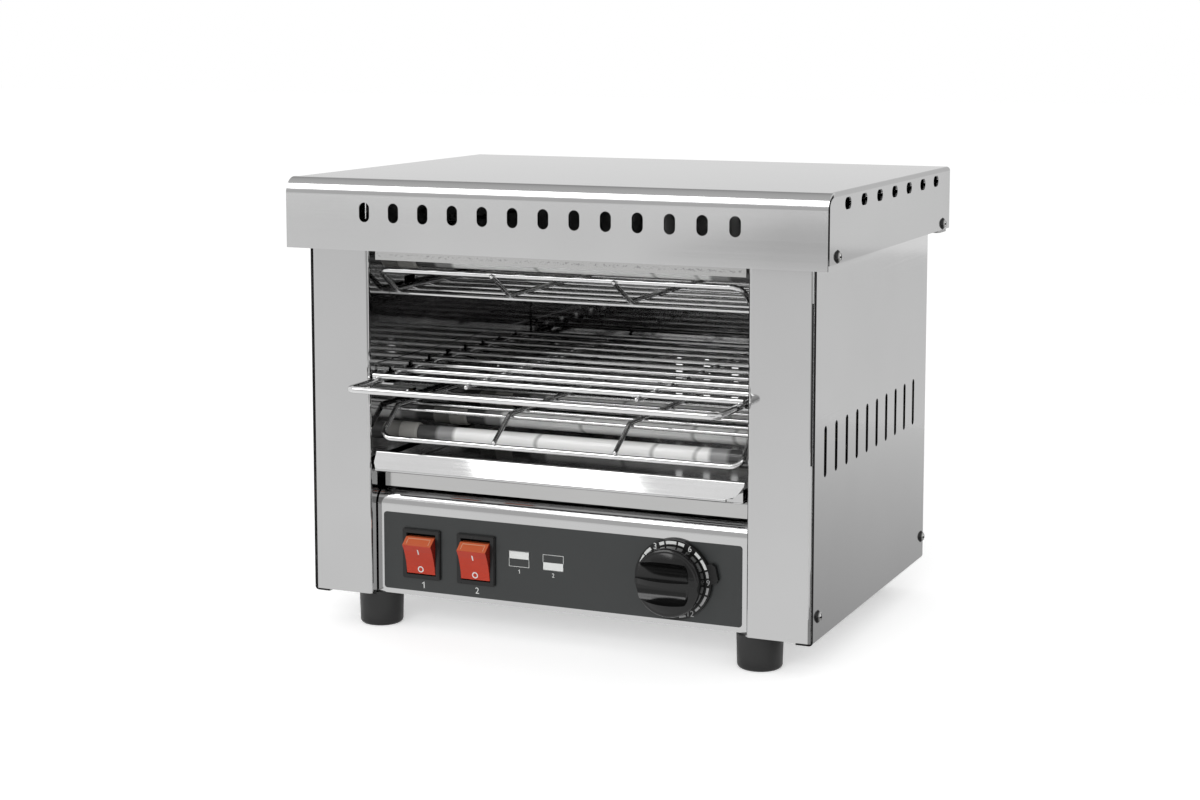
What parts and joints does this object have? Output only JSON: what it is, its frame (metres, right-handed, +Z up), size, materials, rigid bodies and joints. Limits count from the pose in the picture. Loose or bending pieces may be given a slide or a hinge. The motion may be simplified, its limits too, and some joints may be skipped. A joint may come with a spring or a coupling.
{
  "type": "grill toaster",
  "caption": "Open-front countertop grill toaster: folded steel case with vented cover, quartz tubes behind wire guards, sliding wire rack, crumb tray, rocker switches and timer.",
  "frame": {"origin": "on the standing surface, under the middle of the part's box, with the rack and tray pushed in", "axes": "+X to the right seen from the front, +Y from the open front to the back, +Z up"},
  "size_m": [0.3546, 0.2886, 0.2825],
  "materials": {
    "steel_body": "bright satin stainless steel",
    "steel_frame": "bright stainless steel, half mirror",
    "steel_back": "bright stainless steel, slightly heat-stained inside",
    "steel_reflector": "bright stainless reflector sheet",
    "steel_panel": "bright satin stainless steel with a rolled edge",
    "steel_pan": "plain mill finish",
    "steel_runner": "plain bright sheet",
    "steel_tray": "satin stainless sheet with a hemmed lip",
    "wire_bright": "polished stainless wire",
    "wire_chrome": "polished stainless wire",
    "label_black": "matt printed foil",
    "switch_black": "satin black nylon",
    "rocker_red": "translucent red",
    "dial_black": "matt black with white numbers",
    "knob_black": "glossy black thermoset",
    "quartz": "milky quartz",
    "ceramic": "unglazed ceramic",
    "coil_wire": "oxidised resistance wire",
    "brass_strip": "plain strip",
    "timer_case": "moulded case",
    "block_ivory": "moulded terminal block",
    "wire_sleeve": "glass-fibre sleeve",
    "gland_black": "black nylon",
    "foot_rubber": "smooth black rubber",
    "zinc_screw": "zinc-plated steel"
  },
  "bodies": {
    "case": {"base_pan": "steel_pan", "left_side_frame": "steel_frame", "right_side_frame": "steel_frame", "left_side_panel": "steel_body", "right_side_panel": "steel_body", "rear_panel": "steel_back", "top_cover": "steel_body", "cover_brackets": "steel_pan", "upper_reflector": "steel_reflector", "compartment_lid": "steel_reflector", "control_panel": "steel_panel", "panel_label": "label_black", "upper_guard": "wire_bright", "lower_guard": "wire_bright", "left_rack_runner": "steel_runner", "right_rack_runner": "steel_runner", "lower_tube_front": "quartz", "lower_tube_middle": "quartz", "lower_tube_rear": "quartz", "upper_tube_front": "quartz", "upper_tube_middle": "quartz", "upper_tube_rear": "quartz", "lower_tube_caps": "ceramic", "upper_tube_caps": "ceramic", "lower_coils": "coil_wire", "upper_coils": "coil_wire", "lower_bus_bars": "brass_strip", "upper_bus_bars": "brass_strip", "switch_1_housing": "switch_black", "switch_2_housing": "switch_black", "switch_terminals": "brass_strip", "timer_body": "timer_case", "timer_nut": "zinc_screw", "dial_ring": "dial_black", "terminal_block": "block_ivory", "wiring": "wire_sleeve", "cable_gland": "gland_black", "gland_nut": "gland_black", "earth_stud": "brass_strip", "foot_front_left": "foot_rubber", "foot_front_right": "foot_rubber", "foot_rear_left": "foot_rubber", "foot_rear_right": "foot_rubber", "foot_screws": "zinc_screw", "side_screws": "zinc_screw", "cover_screws": "zinc_screw", "rear_screws": "zinc_screw"},
    "rack": {"toast_rack": "wire_chrome"},
    "tray": {"crumb_tray": "steel_tray"},
    "knob": {"timer_knob": "knob_black", "timer_shaft": "zinc_screw"},
    "rocker_1": {"rocker_1": "rocker_red"},
    "rocker_2": {"rocker_2": "rocker_red"}
  },
  "joints": [
    {"name": "rack_slide", "type": "slide", "parent": "case", "child": "rack", "axis": [0, -1, 0], "range_m": [0, 0.16]},
    {"name": "tray_slide", "type": "slide", "parent": "case", "child": "tray", "axis": [0, -1, 0], "range_m": [0, 0.19]},
    {"name": "timer_turn", "type": "hinge", "parent": "case", "child": "knob", "pos_m": [0.0765, -0.10675, 0.0502], "axis": [0, 1, 0], "range_deg": [0, 300]},
    {"name": "rocker_1_tip", "type": "hinge", "parent": "case", "child": "rocker_1", "pos_m": [-0.092, -0.09545, 0.049], "axis": [-1, 0, 0], "range_deg": [0, 36]},
    {"name": "rocker_2_tip", "type": "hinge", "parent": "case", "child": "rocker_2", "pos_m": [-0.0543, -0.09545, 0.049], "axis": [-1, 0, 0], "range_deg": [0, 36]}
  ]
}
